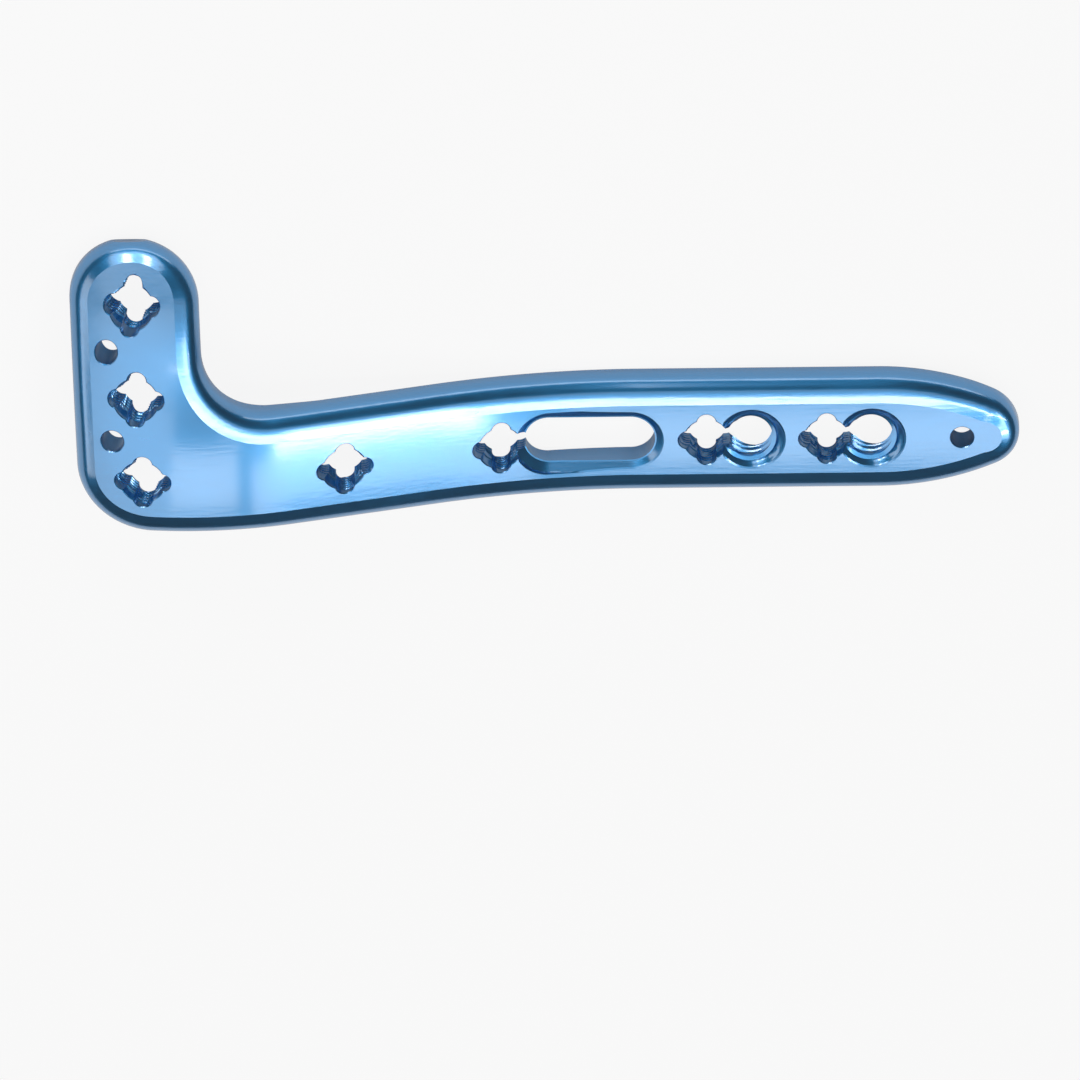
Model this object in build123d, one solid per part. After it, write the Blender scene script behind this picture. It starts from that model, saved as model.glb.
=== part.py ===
from build123d import *
from math import atan, atan2, cos, degrees, hypot, pi, radians, sin, tan
import os

# A bone plate for the lower end of the shin bone: a straight shaft, a bent neck and a side arm, the head.
# Millimetres. The shaft runs along X with its tip at +X, the arm runs towards +Y, and the bone side faces down.
# The plate is drawn with its shaft flat and its top at Z = 0 on the shaft's middle line, and is then laid down.
# Places on it are given as u along the shaft and w across it.

# Shaft and arm, seen from above
shaft_half_width = 7.1
tip_end = 51.2
nose_radius = 4.8
flank_length = 10.4
arm_half_width = 6.98
arm_middle = -43.54
arm_lean = 1.9
arm_length = 19.3
outer_corner_radius = 8.1
inner_corner_radius = 7.5
end_flat_distance = 6.65

# Bend of the plate along the shaft
bend_start = 10.0
bend_radius = 81.5
bend_slope = 0.27
ramp_length = 15.2
head_bend_radius = 40.0

# Bend of the plate across the shaft and along the arm
crown_radius = 90.0
curl_start = 5.2
curl_radius = 31.0
curl_length = 14.3
wall_lean_share = 0.7

# Thickness, and the hollow on the bone side, which turns from the shaft's way to the arm's at the neck
plate_thickness = 3.4
hollow_radius = 72.0
neck_start = -24.0
neck_length = 12.0

# Bevel along each side, flat near its crease and round near the wall
bevel_slope = 15.0
bevel_flat_share = 0.38
bevel_shaft = 2.87
bevel_tip = 1.9
bevel_arm_inner = 2.65
bevel_arm_outer = 1.95
bevel_arm_end = 2.25
lower_round = 0.65

# Clover holes
lobe_reach = 3.05
lobe_radius = 1.05
column_radius = 2.1
mouth_radius = 2.45
mouth_depth = 1.2

# Round threaded holes, each joined to a clover hole
thread_radius = 2.6
sink_radius = 3.62
sink_depth = 1.0
pair_reach = 4.85

# Long slot, joined to a clover hole, with a narrow ledge under its sloping rim
slot_travel = 8.8
slot_width = 5.3
slot_ledge_width = 5.6
slot_rim_width = 7.4
slot_rim_depth = 0.75
slot_reach = 9.6

# Places of the holes
wire_radius = 1.25
tip_wire = 45.0
pair_start = 17.4
pair_pitch = 13.0
slot_clover = -4.8
neck_clover = -21.65
head_clovers = [(-43.5, 0.0), (-44.1, 9.65), (-44.45, 19.3)]
head_wires = [(-46.7, 4.7), (-47.25, 14.5)]
head_hole_lean = 11.5

# How the plate lies on a flat surface, on its arm's end and on the start of its shaft
rest_pitch = 1.685
rest_roll = 0.05

# Lengths and counts that only the construction needs
skin_margin = 0.8
skin_depth = 4.8
skin_reach = 25.0
skin_stations = 200
round_steps = 6
field_margin = 5.0
field_step = 1.5
face_fit = 0.01
box_fit = 0.02
box_turn = 0.2
drill_depth = 12.0
drill_rise = 6.0
sink_overrun = 1.3


# Heights of the plate's two faces
def shaft_height(u):
    """Height of the top face on the shaft's middle line, at u."""
    bend_end = bend_start - bend_slope * bend_radius
    ramp_end = bend_end - ramp_length
    if u >= bend_end:
        return max(bend_start - u, 0.0) ** 2 / (2 * bend_radius)
    height = bend_slope * (bend_start + bend_end - 2 * u) / 2
    return height - max(ramp_end - u, 0.0) ** 2 / (2 * head_bend_radius)


def curl_slope(w):
    """How steeply the arm curls down towards the bone at w."""
    return min(max(w - curl_start, 0.0), curl_length) / curl_radius


def top_slope(w):
    """How steeply the top face falls towards +Y at w."""
    return min(w, curl_start) / crown_radius + curl_slope(w)


def cross_drop(w):
    """How far the top face lies below the middle line at w."""
    crowned = min(w, curl_start)
    run = max(w - curl_start, 0.0)
    curled = min(run, curl_length)
    drop = crowned**2 / (2 * crown_radius) + run * curl_start / crown_radius
    return drop + curled**2 / (2 * curl_radius) + (run - curled) * curl_length / curl_radius


def top_height(u, w):
    return shaft_height(u) - cross_drop(w)


def bone_height(u, w):
    """Height of the bone side, hollow across the shaft and, in the head, across the arm."""
    run = min(max((neck_start - u) / neck_length, 0.0), 1.0)
    head_share = run**2 * (3 - 2 * run)
    across_shaft = min(abs(w), shaft_half_width)
    across_arm = u - arm_middle
    hollow = (across_shaft**2 * (1 - head_share) + across_arm**2 * head_share) / (2 * hollow_radius)
    return top_height(u, w) - plate_thickness - hollow


def height_face(height):
    """A smooth face at the given height, wider than the plate all round."""
    low_u = arm_middle - arm_half_width - field_margin
    low_w = -shaft_half_width - field_margin
    u_count = round((tip_end + field_margin - low_u) / field_step)
    w_count = round((arm_length + arm_half_width + field_margin - low_w) / field_step)
    us = [low_u + field_step * i for i in range(u_count + 1)]
    ws = [low_w + field_step * i for i in range(w_count + 1)]
    rows = [[Vector(u, w, height(u, w)) for w in ws] for u in us]
    return Face.make_surface_from_array_of_points(rows, tol=face_fit, min_deg=3, max_deg=5)


def slab():
    """The metal between the top face and the bone side, before the outline is cut."""
    under_top = Solid.extrude(height_face(top_height), Vector(0, 0, -skin_reach))
    return under_top - Solid.extrude(height_face(bone_height), Vector(0, 0, -2 * skin_reach))


# Outline and edge
def arm_side(side, w):
    """A point at w on the arm's side line: side is 1 towards the tip and -1 away from it."""
    lean = radians(arm_lean)
    return Vector(arm_middle + side * arm_half_width / cos(lean) - w * tan(lean), w)


def arm_round_middle():
    """Middle of the arm's rounded end, on the top face."""
    u = arm_middle - arm_length * tan(radians(arm_lean))
    return Vector(u, arm_length, top_height(u, arm_length))


def outline():
    """Outline of the top face as it would be without bevels, from the shaft round the tip to the arm."""
    nose_middle = tip_end - nose_radius
    flank_start = Vector(nose_middle - flank_length, shaft_half_width)
    narrowing = shaft_half_width - nose_radius
    flank_radius = (flank_length**2 + shaft_half_width**2 - nose_radius**2) / (2 * narrowing)
    meeting_angle = atan2(flank_radius - shaft_half_width, flank_length)
    meeting = Vector(nose_middle + nose_radius * cos(meeting_angle), nose_radius * sin(meeting_angle))
    half_way = (pi / 2 + meeting_angle) / 2
    flank_centre = flank_start - Vector(0, flank_radius)
    on_flank = flank_centre + Vector(cos(half_way), sin(half_way)) * flank_radius
    upper_flank = ThreePointArc(flank_start, on_flank, meeting)
    nose = ThreePointArc(meeting, (tip_end, 0), (meeting.X, -meeting.Y))
    lower_flank = upper_flank.mirror(Plane.XZ)
    middle = arm_round_middle()
    arm_rise = arm_half_width * cos(atan(top_slope(arm_length)))
    arm_end = EllipticalCenterArc((middle.X, middle.Y), arm_half_width, arm_rise, arc_size=180, rotation=arm_lean)
    low_start = Vector(flank_start.X, -flank_start.Y)
    outer = FilletPolyline(low_start, arm_side(-1, low_start.Y), arm_end @ 1, radius=outer_corner_radius)
    inner = FilletPolyline(arm_end @ 0, arm_side(1, flank_start.Y), flank_start, radius=inner_corner_radius)
    lines = [upper_flank, nose, lower_flank, outer, arm_end, inner]
    return Wire([edge for line in lines for edge in line.edges()])


def bevel_width(point, outward):
    """Width of the bevel where the outline faces outward."""
    along = bevel_arm_outer
    if outward.X > 0:
        along = bevel_tip if point.X > 0 else bevel_arm_inner
    at_arm_end = outward.Y > 0 and point.Y > (shaft_half_width + arm_length) / 2
    across = bevel_arm_end if at_arm_end else bevel_shaft
    return outward.X**2 * along + outward.Y**2 * across


def edge_section(width):
    """The edge's section from above its crease to below the plate: distance in from the wall, depth."""
    slope = radians(bevel_slope)
    round_run = width / cos(slope) * (1 - bevel_flat_share)
    round_radius = round_run / tan((pi / 2 - slope) / 2)
    wall_start = width * tan(slope) + round_run
    section = [(width + skin_margin, -skin_margin * tan(slope)), (width, 0.0)]
    for i in range(round_steps + 1):
        turn = slope + (pi / 2 - slope) * i / round_steps
        section.append((round_radius * (1 - sin(turn)), wall_start - round_radius * cos(turn)))
    return section + [(0.0, (wall_start + skin_depth) / 2), (0.0, skin_depth)]


def wall_direction(w):
    """The way down along the plate's wall, which leans with the arm's curl."""
    return Vector(0, -wall_lean_share * curl_slope(w), -1).normalized()


def skin_point(point, outward, inset, depth):
    """The point at the inset from the outline and at the depth below the top face."""
    spot = point - outward * inset / hypot(1, top_slope(point.Y) * outward.Y)
    return Vector(spot.X, spot.Y, top_height(spot.X, spot.Y)) + wall_direction(point.Y) * depth


def skin_rows():
    """Closed rows of points round the plate, one row for each point of the edge's section."""
    path = outline()
    stations = []
    for i in range(skin_stations):
        point = path.position_at(i / skin_stations)
        tangent = path.tangent_at(i / skin_stations)
        outward = Vector(-tangent.Y, tangent.X)
        section = edge_section(bevel_width(point, outward))
        stations.append([skin_point(point, outward, inset, depth) for inset, depth in section])
    return [list(row) for row in zip(*stations)]


def closed_spline(points):
    shares = [i / len(points) for i in range(len(points) + 1)]
    return Edge.make_spline(points, periodic=True, parameters=shares)


def skin():
    """A closed solid whose side is the plate's edge, and which reaches past both faces."""
    rows = skin_rows()
    side_edges = [closed_spline(row) for row in rows]
    high = closed_spline([Vector(p.X, p.Y, skin_reach) for p in rows[0]])
    low = closed_spline([Vector(p.X, p.Y, -skin_reach) for p in rows[-1]])
    side = Shell.make_loft([Wire([edge]) for edge in side_edges])
    above = Face.make_surface_from_curves(high, side_edges[0])
    below = Face.make_surface_from_curves(side_edges[-1], low)
    return Solid(Shell(side.faces() + [above, below, Face(Wire([high])), Face(Wire([low]))]))


def end_cutter():
    """A block beyond the flat on the arm's end, square to the arm's curled wall."""
    size = 4 * arm_half_width
    lean = radians(arm_lean)
    up = -wall_direction(arm_length + arm_half_width)
    place = Plane(origin=arm_round_middle(), x_dir=Vector(cos(lean), sin(lean)), z_dir=up)
    return place * Pos(0, end_flat_distance + size / 2, 0) * Box(size, size, size)


# Holes, which are cut before the outline
def bore(sketch):
    """A straight hole of the sketch's form, through the plate."""
    return Pos(0, 0, -drill_depth) * extrude(sketch, drill_depth + drill_rise)


def clover():
    lobes = [spot * Circle(lobe_radius) for spot in PolarLocations(lobe_reach - lobe_radius, 4)]
    return Circle(column_radius) + lobes


def countersink(radius, floor_radius, depth):
    """A cone from its mouth to just past the bore's wall, with room above the face."""
    deep = depth * sink_overrun
    deep_radius = radius - (radius - floor_radius) * sink_overrun
    cone = [(0, -deep), (deep_radius, -deep), (radius, 0)]
    profile = Polyline(*cone, (radius, drill_rise), (0, drill_rise), close=True)
    return revolve(Plane.XZ * make_face(profile), Axis.Z)


def slot_rim():
    """The slot's sloping rim down to its ledge, with room above the face."""
    taper = degrees(atan((slot_rim_width - slot_ledge_width) / 2 / slot_rim_depth))
    rim = SlotCenterToCenter(slot_travel, slot_rim_width)
    return extrude(rim, -slot_rim_depth, taper=taper) + extrude(rim, drill_rise)


def on_top(u, w=0.0, lean=0.0):
    """The place at u and w on the top face, with its axis leaning away from the tip."""
    return Pos(u, w, top_height(u, w)) * Rot(0, -lean, 0)


def hole_cutters():
    """Everything that is cut from the slab, the bores first."""
    mouth = countersink(mouth_radius, column_radius, mouth_depth)
    sink = countersink(sink_radius, thread_radius, sink_depth)
    pair = clover() + Pos(pair_reach, 0) * Circle(thread_radius)
    slot = clover() + Pos(slot_reach, 0) * SlotCenterToCenter(slot_travel, slot_width)
    pairs = [pair_start, pair_start + pair_pitch]
    bores = [on_top(u, w, head_hole_lean) * bore(clover()) for u, w in head_clovers]
    bores += [on_top(u, w, head_hole_lean) * bore(Circle(wire_radius)) for u, w in head_wires]
    bores += [on_top(tip_wire) * bore(Circle(wire_radius)), on_top(neck_clover) * bore(clover())]
    bores += [on_top(u) * bore(pair) for u in pairs] + [on_top(slot_clover) * bore(slot)]
    mouths = [on_top(u, w, head_hole_lean) * mouth for u, w in head_clovers]
    mouths += [on_top(u) * mouth for u in [neck_clover, slot_clover] + pairs]
    mouths += [on_top(u + pair_reach) * sink for u in pairs]
    return bores + mouths + [on_top(slot_clover + slot_reach) * slot_rim()]


metal = slab()
for cutter in hole_cutters():
    metal -= cutter
plate = skin() & metal
bone_side = min(plate.faces(), key=lambda face: face.normal_at().Z)
plate = plate.fillet(lower_round, bone_side.outer_wire().edges()) - end_cutter()

# Laid down, with the middle of its box over the origin
plate = Rot(rest_roll, -rest_pitch, 0) * plate
points = plate.tessellate(box_fit, box_turn)[0]
middle_x = (min(p.X for p in points) + max(p.X for p in points)) / 2
middle_y = (min(p.Y for p in points) + max(p.Y for p in points)) / 2
plate = Pos(-middle_x, -middle_y, -min(p.Z for p in points)) * plate

os.makedirs("parts", exist_ok=True)
export_step(plate, "parts/bone_plate.step")
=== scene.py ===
import math
import bmesh
import bpy
import numpy as np
from mathutils import Matrix, Vector
from mathutils.geometry import delaunay_2d_cdt


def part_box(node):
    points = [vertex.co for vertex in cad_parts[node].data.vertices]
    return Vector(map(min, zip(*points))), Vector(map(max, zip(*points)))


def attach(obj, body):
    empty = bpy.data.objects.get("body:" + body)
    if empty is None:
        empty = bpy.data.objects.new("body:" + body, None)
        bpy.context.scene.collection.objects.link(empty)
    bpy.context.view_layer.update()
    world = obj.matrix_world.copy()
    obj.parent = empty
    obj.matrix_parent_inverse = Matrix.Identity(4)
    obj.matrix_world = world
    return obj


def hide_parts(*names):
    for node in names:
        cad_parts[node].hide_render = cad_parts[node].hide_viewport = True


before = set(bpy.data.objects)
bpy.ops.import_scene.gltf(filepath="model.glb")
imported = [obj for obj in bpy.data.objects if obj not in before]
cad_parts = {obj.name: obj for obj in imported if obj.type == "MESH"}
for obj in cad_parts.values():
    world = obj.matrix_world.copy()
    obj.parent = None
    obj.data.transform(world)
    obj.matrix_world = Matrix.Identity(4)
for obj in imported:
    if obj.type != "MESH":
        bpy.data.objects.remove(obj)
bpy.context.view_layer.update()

# Sizes in millimetres. The shaft runs along u with its tip at +u, the arm runs towards +w, and the bone
# side faces down. Heights are counted from the shaft's flat end.
SHAFT_HALF, TIP_END, NOSE, FLANK = 7.1, 51.2, 4.8, 10.4
ARM_HALF, ARM_MIDDLE, ARM_LEAN, ARM_LENGTH = 6.98, -43.54, math.radians(1.9), 19.3
OUTER_CORNER, INNER_CORNER, END_FLAT = 8.1, 7.5, 6.65
BEND_START, BEND_RADIUS, BEND_SLOPE, RAMP, HEAD_BEND = 10.0, 81.5, 0.27, 15.2, 40.0
CROWN, CURL_START, CURL_RADIUS, CURL_LENGTH, WALL_LEAN = 90.0, 5.2, 31.0, 14.3, 0.7
THICKNESS, HOLLOW, NECK_START, NECK_LENGTH = 3.4, 72.0, -24.0, 12.0
BEVEL_SLOPE, FLAT_SHARE, LOWER_ROUND = math.radians(15), 0.38, 0.65
BEVEL = {"shaft": 2.87, "tip": 1.9, "inner": 2.65, "outer": 1.95, "end": 2.25}
REST_PITCH, REST_ROLL = math.radians(1.685), math.radians(0.05)

# How fine the mesh is
STATIONS, OUTLINE_POINTS, TANGENT_REACH = 640, 240, 0.15
FLAT_SHARES, WALL_STEPS, LOWER_STEPS = (0.34, 0.67), 9, 6
TOP_STEP, BONE_STEP, ROW_SHARE, CLEAR_SHARE = 1.0, 1.4, 0.87, 0.55
MERGE_DISTANCE, SMOOTH_BELOW = 0.0005, math.radians(11)


# Heights of the plate's two faces
def shaft_height(u):
    bend_end = BEND_START - BEND_SLOPE * BEND_RADIUS
    ramp_end = bend_end - RAMP
    bend = np.maximum(BEND_START - u, 0) ** 2 / (2 * BEND_RADIUS)
    ramp = BEND_SLOPE * (BEND_START + bend_end - 2 * u) / 2
    ramp = ramp - np.maximum(ramp_end - u, 0) ** 2 / (2 * HEAD_BEND)
    return np.where(u >= bend_end, bend, ramp)


def curl_slope(w):
    return np.clip(w - CURL_START, 0, CURL_LENGTH) / CURL_RADIUS


def top_slope(w):
    return np.minimum(w, CURL_START) / CROWN + curl_slope(w)


def top_height(u, w):
    crowned = np.minimum(w, CURL_START)
    run = np.maximum(w - CURL_START, 0)
    curled = np.minimum(run, CURL_LENGTH)
    drop = crowned**2 / (2 * CROWN) + run * CURL_START / CROWN
    drop = drop + curled**2 / (2 * CURL_RADIUS) + (run - curled) * CURL_LENGTH / CURL_RADIUS
    return shaft_height(u) - drop


def bone_height(u, w):
    run = np.clip((NECK_START - u) / NECK_LENGTH, 0, 1)
    head = run**2 * (3 - 2 * run)
    across = np.minimum(np.abs(w), SHAFT_HALF)
    hollow = (across**2 * (1 - head) + (u - ARM_MIDDLE) ** 2 * head) / (2 * HOLLOW)
    return top_height(u, w) - THICKNESS - hollow


def on_face(plan, height):
    """Points of a plan, lifted to the height of a face."""
    return np.column_stack([plan, height(plan[:, 0], plan[:, 1])])


def unit(rows):
    return rows / np.maximum(np.linalg.norm(rows, axis=1), 1e-9)[:, None]


# Outline of the plate, seen from above
def arc(centre, radius, start, end):
    turn = np.linspace(start, end, OUTLINE_POINTS)
    return np.stack([centre[0] + radius * np.cos(turn), centre[1] + radius * np.sin(turn)], 1)


def corner(point, into, out, radius):
    """The rounded corner between the way into a point and the way out of it."""
    point, into, out = np.array(point), np.array(into), np.array(out)
    turn = math.acos(float(into @ out))
    side = (out - into) / np.linalg.norm(out - into)
    centre = point + side * radius / math.cos(turn / 2)
    first = point - into * radius * math.tan(turn / 2) - centre
    last = point + out * radius * math.tan(turn / 2) - centre
    start, end = math.atan2(first[1], first[0]), math.atan2(last[1], last[0])
    return arc(centre, radius, start, start + (end - start + math.pi) % (2 * math.pi) - math.pi)


def arm_end():
    """Middle of the round on the arm's end, in plan."""
    return np.array([ARM_MIDDLE - ARM_LENGTH * math.tan(ARM_LEAN), ARM_LENGTH])


def outline():
    """Points round the plate at even steps and the way outward at each."""
    nose_u = TIP_END - NOSE
    flank_u = nose_u - FLANK
    flank_radius = (FLANK**2 + SHAFT_HALF**2 - NOSE**2) / (2 * (SHAFT_HALF - NOSE))
    meet = math.atan2(flank_radius - SHAFT_HALF, FLANK)
    lean = np.array([math.sin(ARM_LEAN), math.cos(ARM_LEAN)])
    side = ARM_HALF / math.cos(ARM_LEAN)
    outer = (ARM_MIDDLE - side + SHAFT_HALF * math.tan(ARM_LEAN), -SHAFT_HALF)
    inner = (ARM_MIDDLE + side - SHAFT_HALF * math.tan(ARM_LEAN), SHAFT_HALF)
    rise = ARM_HALF * math.cos(math.atan(float(top_slope(ARM_LENGTH))))
    turn = np.linspace(math.pi, 0, 2 * OUTLINE_POINTS)
    oval = np.stack([ARM_HALF * np.cos(turn), rise * np.sin(turn)], 1)
    spin = np.array([[lean[1], lean[0]], [-lean[0], lean[1]]])
    path = np.concatenate([
        arc((flank_u, SHAFT_HALF - flank_radius), flank_radius, math.pi / 2, meet),
        arc((nose_u, 0), NOSE, meet, -meet),
        arc((flank_u, flank_radius - SHAFT_HALF), flank_radius, -meet, -math.pi / 2),
        corner(outer, (-1, 0), (-lean[0], lean[1]), OUTER_CORNER),
        oval @ spin + arm_end(),
        corner(inner, (lean[0], -lean[1]), (1, 0), INNER_CORNER),
    ])
    path = np.concatenate([path, path[:1]])
    steps = np.linalg.norm(np.diff(path, axis=0), axis=1)
    path = path[np.concatenate([[True], steps > 1e-9])]
    run = np.concatenate([[0], np.cumsum(np.linalg.norm(np.diff(path, axis=0), axis=1))])

    def place(s):
        s = s % run[-1]
        return np.stack([np.interp(s, run, path[:, 0]), np.interp(s, run, path[:, 1])], 1)

    at = run[-1] * np.arange(STATIONS) / STATIONS
    along = unit(place(at + TANGENT_REACH) - place(at - TANGENT_REACH))
    return place(at), np.stack([-along[:, 1], along[:, 0]], 1)


# The edge: bevel, wall and the small round under it
def bevel_width(points, outward):
    towards_tip = np.where(points[:, 0] > 0, BEVEL["tip"], BEVEL["inner"])
    along = np.where(outward[:, 0] > 0, towards_tip, BEVEL["outer"])
    at_end = (outward[:, 1] > 0) & (points[:, 1] > (SHAFT_HALF + ARM_LENGTH) / 2)
    across = np.where(at_end, BEVEL["end"], BEVEL["shaft"])
    return outward[:, 0] ** 2 * along + outward[:, 1] ** 2 * across


def edge_rows():
    """Rows of points round the plate, from the crease on top to where the underside starts."""
    points, outward = outline()
    width = bevel_width(points, outward)
    shrink = 1 / np.hypot(1, top_slope(points[:, 1]) * outward[:, 1])
    lean = WALL_LEAN * curl_slope(points[:, 1])
    down = unit(np.stack([0 * lean, -lean, -np.ones(len(lean))], 1))
    run = width / math.cos(BEVEL_SLOPE) * (1 - FLAT_SHARE)
    radius = run / math.tan((math.pi / 2 - BEVEL_SLOPE) / 2)
    wall = width * math.tan(BEVEL_SLOPE) + run

    def spot(inset, depth):
        plan = points - outward * (inset * shrink)[:, None]
        return on_face(plan, top_height) + down * depth[:, None]

    rows = [spot(width, 0 * width)]
    flat_end = radius * (1 - math.sin(BEVEL_SLOPE))
    flat_depth = wall - radius * math.cos(BEVEL_SLOPE)
    for share in FLAT_SHARES:
        rows.append(spot(width + (flat_end - width) * share, flat_depth * share))
    for i in range(WALL_STEPS + 1):
        turn = BEVEL_SLOPE + (math.pi / 2 - BEVEL_SLOPE) * i / WALL_STEPS
        rows.append(spot(radius * (1 - math.sin(turn)), wall - radius * math.cos(turn)))
    foot = wall + 1.0
    for _ in range(12):
        place = spot(0 * width, foot)
        foot = foot + (place[:, 2] - bone_height(place[:, 0], place[:, 1])) / -down[:, 2]
    place = spot(0 * width, foot)
    for i in range(LOWER_STEPS + 1):
        turn = math.pi / 2 * i / LOWER_STEPS
        plan = place[:, :2] - outward * LOWER_ROUND * (1 - math.cos(turn))
        rows.append(on_face(plan, bone_height) - down * LOWER_ROUND * (1 - math.sin(turn)))
    return rows


# Sizes and places of the holes, in millimetres
CLOVER = {"reach": 3.05, "lobe": 1.05, "column": 2.1, "mouth": 2.45, "depth": 1.2}
ROUND = {"radius": 2.6, "sink": 3.62, "depth": 1.0, "reach": 4.85}
SLOT = {"travel": 8.8, "half": 2.65, "ledge": 2.8, "rim": 3.7, "depth": 0.75, "reach": 9.6}
WIRE, RIM_BREAK = 1.25, 0.09
FINE = {"pitch": 0.5, "flank": 0.1, "start": 0.54, "fade": 0.5}
COARSE = {"pitch": 0.92, "flank": 0.11, "start": 0.25, "fade": 0.4, "height": 0.34}
HEAD_FINE, NECK_FINE, SHAFT_FINE = 0.15, 0.13, 0.12
HEAD_CLOVERS, HEAD_WIRES = ((-43.5, 0.0), (-44.1, 9.65), (-44.45, 19.3)), ((-46.7, 4.7), (-47.25, 14.5))
NECK_CLOVER, SLOT_CLOVER, PAIR_CLOVERS, TIP_WIRE, HEAD_HOLE_LEAN = -21.65, -4.8, (17.4, 30.4), 45.0, 11.5
SLOT_DROP = float(top_height(SLOT_CLOVER + SLOT["reach"], 0) - top_height(SLOT_CLOVER, 0))

# Lines round each hole's wall, how many are the clover's where it has a partner, and rows down the wall
WALL_LINES = {"wire": 40, "clover": 168, "pair": 232, "slot": 264}
CLOVER_LINES, WIRE_ROWS, THREAD_ROWS = 140, 6, 48
# Shares of the way round the slot at which its rounds and its straight sides begin
SLOT_MARKS = (0.0, 0.2, 0.37, 0.63, 0.8, 1.0)
# The slot's last row above its ledge, and the depth between that row and the next
LEDGE_ROW, LEDGE_STEP = 19, 0.02
# Depths of the rows within one pitch of the coarse thread, and how they turn back along the clover
COARSE_ROWS = (0, 0.035, 0.075, 0.11, 0.26, 0.43, 0.6, 0.77)
CLOVER_TURN, ROW_GAP, THREAD_ENDS = 0.37, 0.004, 14
# Near a clover's joint with its partner the rim's break narrows to this least share
JOINT_REACH, JOINT_LEAST = 0.35, 0.1
HALVINGS = 40


# The wall of a hole
def thread(angle, t, kind, height):
    """A helical tooth standing in from a hole's wall: its upper flank is the shorter one."""
    below = kind["pitch"] * ((-t / kind["pitch"] - angle / (2 * math.pi)) % 1)
    tooth = np.minimum(below / kind["flank"], (kind["pitch"] - below) / (kind["pitch"] - kind["flank"]))
    return -height * tooth * np.clip((-t - kind["start"]) / kind["fade"], 0, 1)


def clover_radius(angle, t, fine):
    """Distance of the clover's wall from its axis, with a thread of the height fine."""
    off = np.abs((angle + math.pi / 4) % (math.pi / 2) - math.pi / 4)
    a, b = CLOVER["reach"] - CLOVER["lobe"], CLOVER["lobe"]
    across = a * np.sin(off)
    lobe = np.where(across < b, a * np.cos(off) + np.sqrt(np.maximum(b**2 - across**2, 0)), 0)
    cone = CLOVER["mouth"] + t * (CLOVER["mouth"] - CLOVER["column"]) / CLOVER["depth"]
    return np.maximum(lobe, np.clip(cone, CLOVER["column"], CLOVER["mouth"])) + thread(angle, t, FINE, fine)


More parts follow.
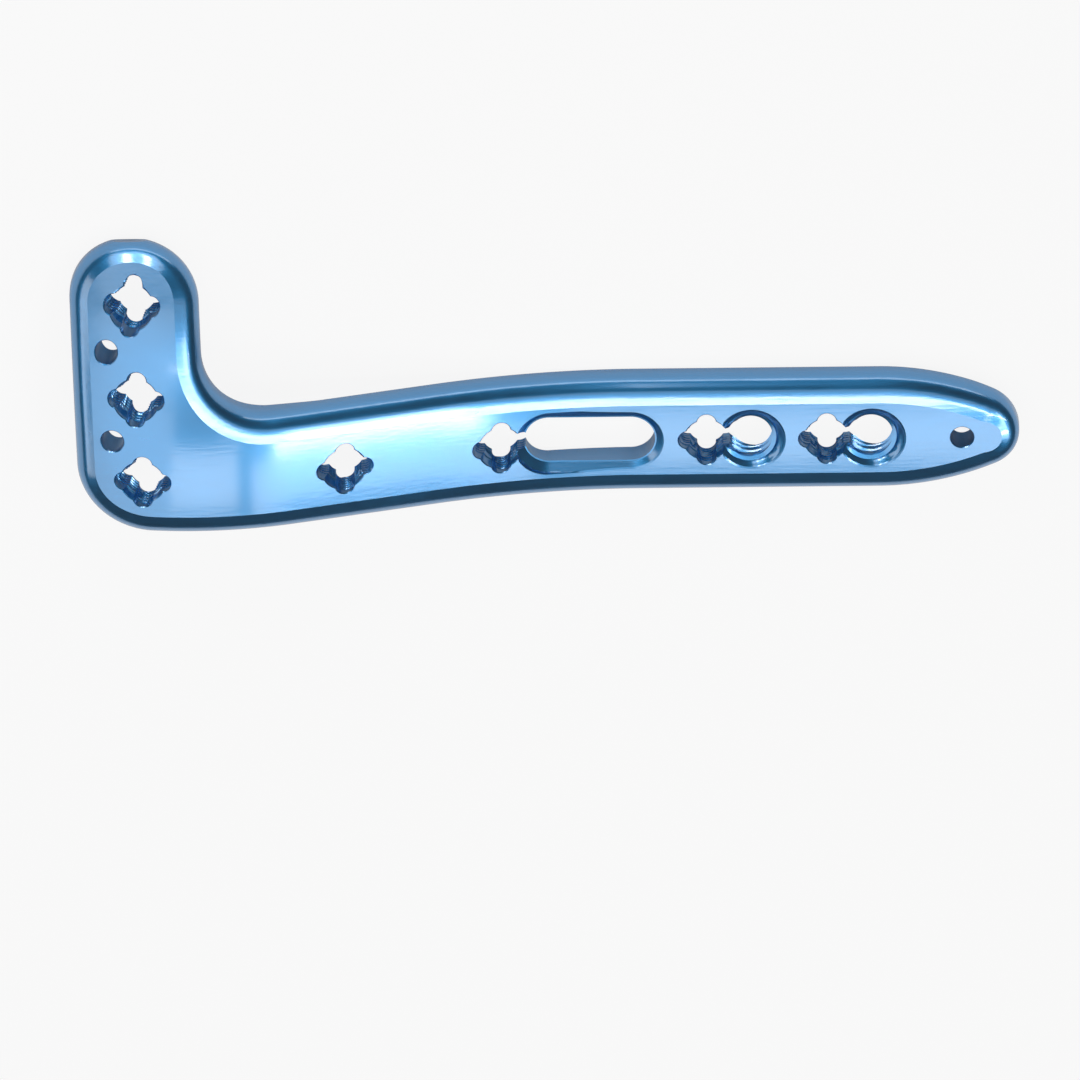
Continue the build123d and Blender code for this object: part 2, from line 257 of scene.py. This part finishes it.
class Hole:
    """A hole at u and w whose axis leans away from the tip. Its depths t are counted upwards.

    The kinds are a wire hole, a clover, a clover joined to a round hole (pair) and one joined to the slot.
    """

    def __init__(self, u, w=0.0, lean=0.0, kind="clover", fine=HEAD_FINE):
        self.centre = np.array([u, w, float(top_height(u, w))])
        self.lean, self.kind, self.fine = math.radians(lean), kind, fine
        self.rows = WIRE_ROWS if kind == "wire" else THREAD_ROWS

    def to_plate(self, x, y, t):
        s, c = math.sin(self.lean), math.cos(self.lean)
        return self.centre + np.stack([x * c - t * s, y, x * s + t * c], -1)

    def contour(self, t):
        """x and y of each wall line at its own depth t: the lines keep their number at every depth."""
        if self.kind in ("pair", "slot"):
            return self.joined(t)
        angle = 2 * math.pi * np.arange(len(t)) / len(t)
        radius = WIRE if self.kind == "wire" else clover_radius(angle, t, self.fine)
        return radius * np.cos(angle), radius * np.sin(angle)

    def partner_radius(self, t):
        if self.kind == "pair":
            cone = ROUND["sink"] + t * (ROUND["sink"] - ROUND["radius"]) / ROUND["depth"]
            return np.clip(cone, ROUND["radius"], ROUND["sink"])
        below = t - SLOT_DROP
        cone = SLOT["rim"] + below * (SLOT["rim"] - SLOT["ledge"]) / SLOT["depth"]
        under_ledge = below < -SLOT["depth"] - LEDGE_STEP / 2
        return np.where(under_ledge, SLOT["half"], np.clip(cone, SLOT["ledge"], SLOT["rim"]))

    def partner_inside(self, x, y, t):
        """How far a point lies inside the round hole or slot beside the clover."""
        reach, half = (ROUND["reach"], 0) if self.kind == "pair" else (SLOT["reach"], SLOT["travel"] / 2)
        beyond = x - reach - np.clip(x - reach, -half, half)
        return self.partner_radius(t) - np.hypot(beyond, y)

    def joined(self, t):
        """A clover and its partner: the clover's lines first, then the partner's."""
        low, high = np.zeros(len(t)), np.full(len(t), math.pi / 2)
        for _ in range(HALVINGS):
            middle = (low + high) / 2
            r = clover_radius(middle, t, 0.0)
            inside = self.partner_inside(r * np.cos(middle), r * np.sin(middle), t) > 0
            low, high = np.where(inside, middle, low), np.where(inside, high, middle)
        meet = (low + high) / 2
        share = np.arange(len(t)) / CLOVER_LINES
        angle = meet + (2 * math.pi - 2 * meet) * share
        r = clover_radius(angle, t, self.fine * (np.abs(share - 0.5) < 0.499))
        x, y = r * np.cos(angle), r * np.sin(angle)
        r = clover_radius(meet, t, 0.0)
        meet_x, meet_y = r * np.cos(meet), -r * np.sin(meet)
        share = (np.arange(len(t)) - CLOVER_LINES) / (len(t) - CLOVER_LINES)
        radius = self.partner_radius(t)
        if self.kind == "pair":
            turn = np.arctan2(meet_y, meet_x - ROUND["reach"]) * (1 - 2 * share)
            ends = np.clip((0.5 - np.abs(share - 0.5)) * THREAD_ENDS, 0, 1)
            radius = radius + thread(turn, t, COARSE, COARSE["height"]) * ends
            partner_x, partner_y = ROUND["reach"] + radius * np.cos(turn), radius * np.sin(turn)
        else:
            partner_x, partner_y = self.slot_line(meet_x, meet_y, radius, share)
        return np.where(share < 0, x, partner_x), np.where(share < 0, y, partner_y)

    def slot_line(self, meet_x, meet_y, radius, share):
        """A point round the slot from its meeting with the clover, at a share of the way."""
        half, quarter = SLOT["travel"] / 2, math.pi / 2
        left, right = SLOT["reach"] - half, SLOT["reach"] + half
        begin = np.arctan2(meet_y, meet_x - left)
        way = [np.clip((share - a) / (b - a), 0, 1) for a, b in zip(SLOT_MARKS, SLOT_MARKS[1:])]
        first = begin - (quarter + begin) * way[0]
        middle = math.pi * way[2] - quarter
        last = quarter - (quarter + begin) * way[4]
        x = [left + radius * np.cos(first), left + 2 * half * way[1], right + radius * np.cos(middle),
             right - 2 * half * way[3], left + radius * np.cos(last)]
        y = [radius * np.sin(first), -radius, radius * np.sin(middle), radius, radius * np.sin(last)]
        passed = [share > mark for mark in SLOT_MARKS[4:0:-1]]
        return np.select(passed, x[:0:-1], x[0]), np.select(passed, y[:0:-1], y[0])

    def meet(self, height):
        """Where each wall line meets a face of the plate."""
        t = np.zeros(WALL_LINES[self.kind])
        for _ in range(HALVINGS):
            p = self.to_plate(*self.contour(t), t)
            t = t - (p[:, 2] - height(p[:, 0], p[:, 1])) * 0.9
        return t

    def wall_rows(self):
        """The rim's broken edge first, then the wall, then the underside's edge."""
        top, bottom = self.meet(top_height), self.meet(bone_height)
        middle = np.stack(self.contour(top), 1)
        along = unit(np.roll(middle, -1, 0) - np.roll(middle, 1, 0))
        out = np.stack([along[:, 1], -along[:, 0]], 1)
        wide = middle + out * (RIM_BREAK * self.away_from_joint(middle))[:, None]
        rim = self.to_plate(wide[:, 0], wide[:, 1], top)
        rows = [on_face(rim[:, :2], top_height)]
        for row in range(self.rows):
            t = self.levels(top - RIM_BREAK, bottom, row)
            rows.append(self.to_plate(*self.contour(t), t))
        return rows

    def levels(self, start, bottom, row):
        """Depths of one row of the wall."""
        if self.kind == "slot":
            return self.slot_levels(start, bottom, row)
        if self.kind == "pair" and 0 < row < self.rows - 1:
            return self.thread_levels(start, bottom, row)
        return start + (bottom - start) * row / (self.rows - 1)

    def slot_levels(self, start, bottom, row):
        """Depths that keep a row on each side of the ledge."""
        ledge = SLOT_DROP - SLOT["depth"]
        if row <= LEDGE_ROW:
            return start + (ledge - start) * row / LEDGE_ROW
        under = ledge - LEDGE_STEP
        return under + (bottom - under) * (row - LEDGE_ROW - 1) / (self.rows - LEDGE_ROW - 2)

    def thread_levels(self, start, bottom, row):
        """Depths that follow the coarse thread's helix round the hole, and run back along the clover."""
        line = np.arange(len(start))
        x, y = self.contour(start - 0.5)
        clover_side = CLOVER_TURN - 2 * CLOVER_TURN * line / CLOVER_LINES
        round_side = np.arctan2(y, x - ROUND["reach"]) / (2 * math.pi)
        turn = np.where(line < CLOVER_LINES, clover_side, round_side)
        pitch_number, place = divmod(row - 1, len(COARSE_ROWS))
        level = COARSE["pitch"] * (1 - pitch_number - turn) - COARSE_ROWS[place]
        return np.clip(level, bottom + ROW_GAP * (self.rows - 1 - row), start - ROW_GAP * row)

    def away_from_joint(self, middle):
        """How much of the rim's break is left: least at the two points where a clover meets its partner."""
        if self.kind in ("wire", "clover"):
            return np.ones(len(middle))
        joints = middle[[0, CLOVER_LINES]]
        gap = np.linalg.norm(middle[:, None] - joints[None], axis=2).min(1)
        return np.clip(gap / JOINT_REACH, JOINT_LEAST, 1)


HOLES = [Hole(u, w, HEAD_HOLE_LEAN) for u, w in HEAD_CLOVERS] + [Hole(NECK_CLOVER, fine=NECK_FINE)]
HOLES += [Hole(u, w, HEAD_HOLE_LEAN, "wire") for u, w in HEAD_WIRES] + [Hole(TIP_WIRE, kind="wire")]
HOLES += [Hole(u, kind="pair", fine=SHAFT_FINE) for u in PAIR_CLOVERS]
HOLES += [Hole(SLOT_CLOVER, kind="slot", fine=SHAFT_FINE)]


# The plate's mesh
def inside(points, loop):
    """Which points lie inside a closed loop, in plan."""
    x, y = points[:, 0][:, None], points[:, 1][:, None]
    a, b = loop, np.roll(loop, -1, 0)
    cross = (a[:, 1] > y) != (b[:, 1] > y)
    rise = b[:, 1] - a[:, 1]
    rise = np.where(np.abs(rise) < 1e-12, 1e-12, rise)
    hit = x < (b[:, 0] - a[:, 0]) * (y - a[:, 1]) / rise + a[:, 0]
    return (cross & hit).sum(1) % 2 == 1


def within(points, loops):
    """Which points lie inside the first loop and outside the others."""
    result = inside(points, loops[0])
    for loop in loops[1:]:
        result &= ~inside(points, loop)
    return result


def near(points, loops, distance):
    result = np.zeros(len(points), bool)
    for loop in loops:
        for part in np.array_split(np.arange(len(points)), max(1, len(points) // 400)):
            gap = np.linalg.norm(points[part][:, None] - loop[None], axis=2).min(1)
            result[part] |= gap < distance
    return result


def outer_slivers(plan, triangles, loops):
    """Thin triangles on three neighbouring points of a loop that lie on the side without metal."""
    loop_of = np.full(len(plan), -1)
    order = np.zeros(len(plan), int)
    areas, start = [], 0
    for number, loop in enumerate(loops):
        loop_of[start:start + len(loop)] = number
        order[start:start + len(loop)] = np.arange(len(loop))
        start += len(loop)
        after = np.roll(loop, -1, 0)
        areas.append((loop[:, 0] * after[:, 1] - after[:, 0] * loop[:, 1]).sum())
    result = np.zeros(len(triangles), bool)
    for i, triangle in enumerate(triangles):
        number = loop_of[triangle[0]]
        if number < 0 or not (loop_of[triangle] == number).all():
            continue
        loop, places = loops[number], sorted(order[triangle])
        for a in places:
            b, c = (a + 1) % len(loop), (a + 2) % len(loop)
            if {a, b, c} == set(places):
                p, q, r = loop[a], loop[b], loop[c]
                bend = (q[0] - p[0]) * (r[1] - q[1]) - (q[1] - p[1]) * (r[0] - q[0])
                result[i] = (bend * areas[number] > 0) == (number > 0)
    return result


def face_mesh(border, rims, height, step):
    """A face inside its border and outside the rims, as points and triangles."""
    us = np.arange(border[:, 0].min(), border[:, 0].max(), step)
    ws = np.arange(border[:, 1].min(), border[:, 1].max(), step * ROW_SHARE)
    grid = np.array([(u + (j % 2) * step / 2, w) for j, w in enumerate(ws) for u in us])
    loops = [border] + rims
    grid = grid[within(grid, loops) & ~near(grid, loops, step * CLEAR_SHARE)]
    edges, start = [], 0
    for loop in loops:
        edges += [(start + i, start + (i + 1) % len(loop)) for i in range(len(loop))]
        start += len(loop)
    points = np.concatenate(loops + [grid])
    result = delaunay_2d_cdt([Vector(p) for p in points], edges, [], 0, 1e-7)
    plan = np.array([tuple(p) for p in result[0]])
    triangles = np.array([f for f in result[2] if len(f) == 3])
    keep = within(plan[triangles].mean(1), loops) & ~outer_slivers(plan, triangles, loops)
    return on_face(plan, height), triangles[keep]


def build_plate():
    bm = bmesh.new()

    def add_points(points):
        return [bm.verts.new(p) for p in points]

    def add_bands(rows, flip=False):
        rings = [add_points(row) for row in rows]
        for upper, lower in zip(rings, rings[1:]):
            for i in range(len(upper)):
                j = (i + 1) % len(upper)
                quad = (upper[i], upper[j], lower[j], lower[i])
                bm.faces.new(quad[::-1] if flip else quad)

    def add_face(rows, rims, height, step, up):
        points, triangles = face_mesh(rows[:, :2], [rim[:, :2] for rim in rims], height, step)
        verts = add_points(points)
        for a, b, c in triangles:
            first, second = points[b] - points[a], points[c] - points[a]
            counter = first[0] * second[1] - first[1] * second[0] > 0
            corners = (verts[a], verts[b], verts[c])
            bm.faces.new(corners if counter == up else (corners[0], corners[2], corners[1]))

    rows = edge_rows()
    walls = [hole.wall_rows() for hole in HOLES]
    add_bands(rows, flip=True)
    for wall in walls:
        add_bands(wall)
    add_face(rows[0], [wall[0] for wall in walls], top_height, TOP_STEP, True)
    add_face(rows[-1], [wall[-1] for wall in walls], bone_height, BONE_STEP, False)
    bmesh.ops.remove_doubles(bm, verts=bm.verts, dist=MERGE_DISTANCE)
    bmesh.ops.dissolve_degenerate(bm, edges=bm.edges, dist=MERGE_DISTANCE)
    return bm


def cut_end_flat(bm):
    """The flat on the arm's end, square to its curled wall."""
    end_u, end_w = arm_end()
    middle = Vector((end_u, end_w, float(top_height(end_u, end_w))))
    lean = WALL_LEAN * float(curl_slope(ARM_LENGTH + ARM_HALF))
    side = Vector((math.cos(ARM_LEAN), math.sin(ARM_LEAN), 0))
    out = Vector((0, lean, 1)).normalized().cross(side).normalized()
    parts = bm.verts[:] + bm.edges[:] + bm.faces[:]
    place = middle + out * END_FLAT
    cut = bmesh.ops.bisect_plane(bm, geom=parts, plane_co=place, plane_no=out, clear_outer=True)
    edges = [e for e in cut["geom_cut"] if isinstance(e, bmesh.types.BMEdge)]
    made = bmesh.ops.contextual_create(bm, geom=edges)
    bmesh.ops.triangulate(bm, faces=made["faces"])


def lay_down(points):
    """From the plate's own frame in millimetres to metres, turned as it lies but not yet moved."""
    turn = Matrix.Rotation(REST_ROLL, 3, "X") @ Matrix.Rotation(-REST_PITCH, 3, "Y")
    return points @ np.array(turn).T / 1000


def move_to_solid(points):
    """The move that sets the plate over its solid and on the floor."""
    low, high = points.min(0), points.max(0)
    solid_low, solid_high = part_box("bone_plate")
    across = [(solid_low[i] + solid_high[i]) / 2 - (low[i] + high[i]) / 2 for i in range(2)]
    return np.array(across + [solid_low[2] - low[2]])


bm = build_plate()
cut_end_flat(bm)
points = lay_down(np.array([v.co for v in bm.verts]))
shift = move_to_solid(points)
for vert, point in zip(bm.verts, points + shift):
    vert.co = point
for edge in bm.edges:
    edge.smooth = len(edge.link_faces) == 2 and edge.calc_face_angle(0) < SMOOTH_BELOW
for face in bm.faces:
    face.smooth = True
mesh = bpy.data.meshes.new("plate")
bm.to_mesh(mesh)
bm.free()
plate = bpy.data.objects.new("plate", mesh)
bpy.context.scene.collection.objects.link(plate)


# Blue anodised titanium: blue metal under a thin clear oxide, with the fine grain of its polishing
GRAIN_STRETCH, CLOUD_STRETCH = (230, 2900, 2900), (90, 130, 130)
DEEP_BLUE, PALE_BLUE = (0.018, 0.262, 0.60, 1), (0.023, 0.286, 0.64, 1)
SMOOTHEST, ROUGHEST = 0.27, 0.37
GRAIN_DEPTH, GRAIN_STRENGTH = 0.000006, 0.8


def anodised():
    material = bpy.data.materials.new("blue_anodised_titanium")
    material.use_nodes = True
    nodes, links = material.node_tree.nodes, material.node_tree.links
    shader = nodes["Principled BSDF"]
    shader.inputs["Metallic"].default_value = 1.0
    shader.inputs["Coat Weight"].default_value = 1.0
    shader.inputs["Coat Roughness"].default_value = 0.13
    shader.inputs["Coat IOR"].default_value = 2.2
    where = nodes.new("ShaderNodeTexCoord")

    def noise(stretch, detail):
        scale = nodes.new("ShaderNodeMapping")
        scale.inputs["Scale"].default_value = stretch
        links.new(where.outputs["Object"], scale.inputs["Vector"])
        texture = nodes.new("ShaderNodeTexNoise")
        texture.inputs["Scale"].default_value = 1.0
        texture.inputs["Detail"].default_value = detail
        links.new(scale.outputs["Vector"], texture.inputs["Vector"])
        return texture.outputs[0]

    grain, cloud = noise(GRAIN_STRETCH, 2.0), noise(CLOUD_STRETCH, 3.0)
    tint = nodes.new("ShaderNodeMix")
    tint.data_type = "RGBA"
    tint.inputs["A"].default_value = DEEP_BLUE
    tint.inputs["B"].default_value = PALE_BLUE
    links.new(cloud, tint.inputs["Factor"])
    links.new(tint.outputs["Result"], shader.inputs["Base Color"])
    both = nodes.new("ShaderNodeMix")
    both.inputs["Factor"].default_value = 0.5
    links.new(cloud, both.inputs["A"])
    links.new(grain, both.inputs["B"])
    spread = nodes.new("ShaderNodeMapRange")
    for name, value in (("From Min", 0.3), ("From Max", 0.7), ("To Min", SMOOTHEST), ("To Max", ROUGHEST)):
        spread.inputs[name].default_value = value
    links.new(both.outputs["Result"], spread.inputs["Value"])
    links.new(spread.outputs["Result"], shader.inputs["Roughness"])
    bump = nodes.new("ShaderNodeBump")
    bump.inputs["Strength"].default_value = GRAIN_STRENGTH
    bump.inputs["Distance"].default_value = GRAIN_DEPTH
    links.new(grain, bump.inputs["Height"])
    links.new(bump.outputs["Normal"], shader.inputs["Normal"])
    links.new(bump.outputs["Normal"], shader.inputs["Coat Normal"])
    return material


plate.data.materials.append(anodised())
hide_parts("bone_plate")
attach(plate, "root")

# Camera, as in the photograph: tilted from the shaft's face towards the arm's side. The plate's origin
# lies at a place of the square frame, counted in its pixels from the left and from the top.
VIEW_TILT, VIEW_ROLL, VIEW_DISTANCE = math.radians(29), 0.0105, 4800.0
FRAME_PIXELS, PIXEL_MM, ORIGIN_ACROSS, ORIGIN_DOWN = 1080, 0.108, 545.5, 441.8
SENSOR_MM = 36


def aim_camera():
    across = Vector((0, math.cos(VIEW_TILT), -math.sin(VIEW_TILT)))
    back = Vector((0, math.sin(VIEW_TILT), math.cos(VIEW_TILT)))
    shaft = Vector((1, 0, 0))
    right = (shaft - VIEW_ROLL * across).normalized()
    up = (across + VIEW_ROLL * shaft).normalized()
    x, y = (FRAME_PIXELS / 2 - ORIGIN_ACROSS) * PIXEL_MM, (ORIGIN_DOWN - FRAME_PIXELS / 2) * PIXEL_MM
    aim = shaft * (x + VIEW_ROLL * y) + across * (y - VIEW_ROLL * x)
    turned = lay_down(np.array([aim + back * VIEW_DISTANCE, right, up, back]))
    axes = Matrix([Vector(v).normalized() for v in turned[1:]]).transposed()
    camera = bpy.data.cameras.new("camera")
    camera.sensor_width = SENSOR_MM
    camera.lens = SENSOR_MM * VIEW_DISTANCE / (FRAME_PIXELS * PIXEL_MM)
    camera.clip_end = 20
    obj = bpy.data.objects.new("camera", camera)
    obj.matrix_world = Matrix.Translation(turned[0] + shift) @ axes.to_4x4()
    bpy.context.scene.collection.objects.link(obj)
    bpy.context.scene.camera = obj


aim_camera()

# Floor and light. The floor is white to the camera but keeps the plate's shadow. The plate mirrors its
# white at half strength, with painted shade close by: ambient occlusion darkens the white that the plate
# mirrors near the plate.
FLOOR_GREY, FLOOR_WHITE, MIRRORED_SHARE, PAINTED_SHADE_REACH = 0.5, 0.9, 0.5, 0.05


def floor():
    bpy.ops.mesh.primitive_plane_add(size=6, location=(0, 0, -0.0001))
    ground = bpy.context.object
    ground.name = "floor"
    material = bpy.data.materials.new("pale_floor")
    material.use_nodes = True
    nodes, links = material.node_tree.nodes, material.node_tree.links
    shader = nodes["Principled BSDF"]
    shader.inputs["Base Color"].default_value = (FLOOR_GREY, FLOOR_GREY, FLOOR_GREY, 1)
    shader.inputs["Roughness"].default_value = 0.9
    shader.inputs["Specular IOR Level"].default_value = 0.0
    white = nodes.new("ShaderNodeEmission")
    white.inputs["Strength"].default_value = 1.0
    path = nodes.new("ShaderNodeLightPath")
    # Painted shade: ambient occlusion near the plate, which dims the white that the plate mirrors
    painted_shade = nodes.new("ShaderNodeAmbientOcclusion")
    painted_shade.inputs["Distance"].default_value = PAINTED_SHADE_REACH
    painted_shade.samples = 8

    def combine(operation, first, second):
        step = nodes.new("ShaderNodeMath")
        step.operation = operation
        step.use_clamp = operation == "ADD"
        links.new(first, step.inputs[0])
        if isinstance(second, float):
            step.inputs[1].default_value = second
        else:
            links.new(second, step.inputs[1])
        return step.outputs[0]

    mirrored = combine("ADD", path.outputs["Is Glossy Ray"], path.outputs["Is Transmission Ray"])
    # The mirrored white gets painted shade: it is multiplied by ambient occlusion, so it is darker close to
    # the plate
    mirrored = combine("MULTIPLY", combine("MULTIPLY", mirrored, painted_shade.outputs["AO"]), MIRRORED_SHARE)
    seen = combine("ADD", path.outputs["Is Camera Ray"], mirrored)
    mix = nodes.new("ShaderNodeMixShader")
    links.new(combine("MULTIPLY", seen, FLOOR_WHITE), mix.inputs[0])
    links.new(shader.outputs[0], mix.inputs[1])
    links.new(white.outputs[0], mix.inputs[2])
    links.new(mix.outputs[0], nodes["Material Output"].inputs[0])
    ground.data.materials.append(material)


def soft_box(name, along, across, size, radiance, distance=0.9, over=(0, 0)):
    """A rectangular lamp facing the plate: angles from straight up, and its size in degrees each way."""
    towards = Vector((math.tan(math.radians(along)), math.tan(math.radians(across)), 1)).normalized()
    side = (Vector((1, 0, 0)) - towards * towards.x).normalized()
    light = bpy.data.lights.new(name, "AREA")
    light.shape = "RECTANGLE"
    light.size = 2 * distance * math.tan(math.radians(size[0] / 2))
    light.size_y = 2 * distance * math.tan(math.radians(size[1] / 2))
    light.energy = radiance * math.pi * light.size * light.size_y
    obj = bpy.data.objects.new(name, light)
    turn = Matrix((side, towards.cross(side), towards)).transposed()
    obj.matrix_world = Matrix.Translation(Vector((*over, 0.005)) + towards * distance) @ turn.to_4x4()
    bpy.context.scene.collection.objects.link(obj)


floor()
ARM_TOP = (-0.044, 0.0145)
soft_box("face_light", -1, -29, (18, 10), 1.75)
soft_box("ramp_light", 25.5, -32, (21, 9), 1.7)
soft_box("ramp_upper_light", 28, -23.8, (15, 6.5), 9.5)
soft_box("low_back_light", 0, 86, (70, 7), 2)
soft_box("inner_side_light", 28, 0, (10, 30), 3)
soft_box("head_light", -22, -6, (24, 64), 0.75)
soft_box("left_side_light", -63, -4, (10, 60), 1.6)
soft_box("crease_strip", 18, 6.4, (54, 2.4), 11)
soft_box("arch_light", -20, 60, (46, 24), 1.5, 0.22, ARM_TOP)
soft_box("arch_spot_left", -33, 57, (6, 9), 10, 0.2, ARM_TOP)
soft_box("arch_spot_right", -4, 57, (6, 9), 10, 0.2, ARM_TOP)
soft_box("fill_light", 0, -7, (90, 74), 0.5, 1.1)
world = bpy.data.worlds.new("world")
world.use_nodes = True
world.node_tree.nodes["Background"].inputs[0].default_value = (0.08, 0.08, 0.08, 1)
bpy.context.scene.world = world
bpy.context.scene.view_settings.view_transform = "Standard"
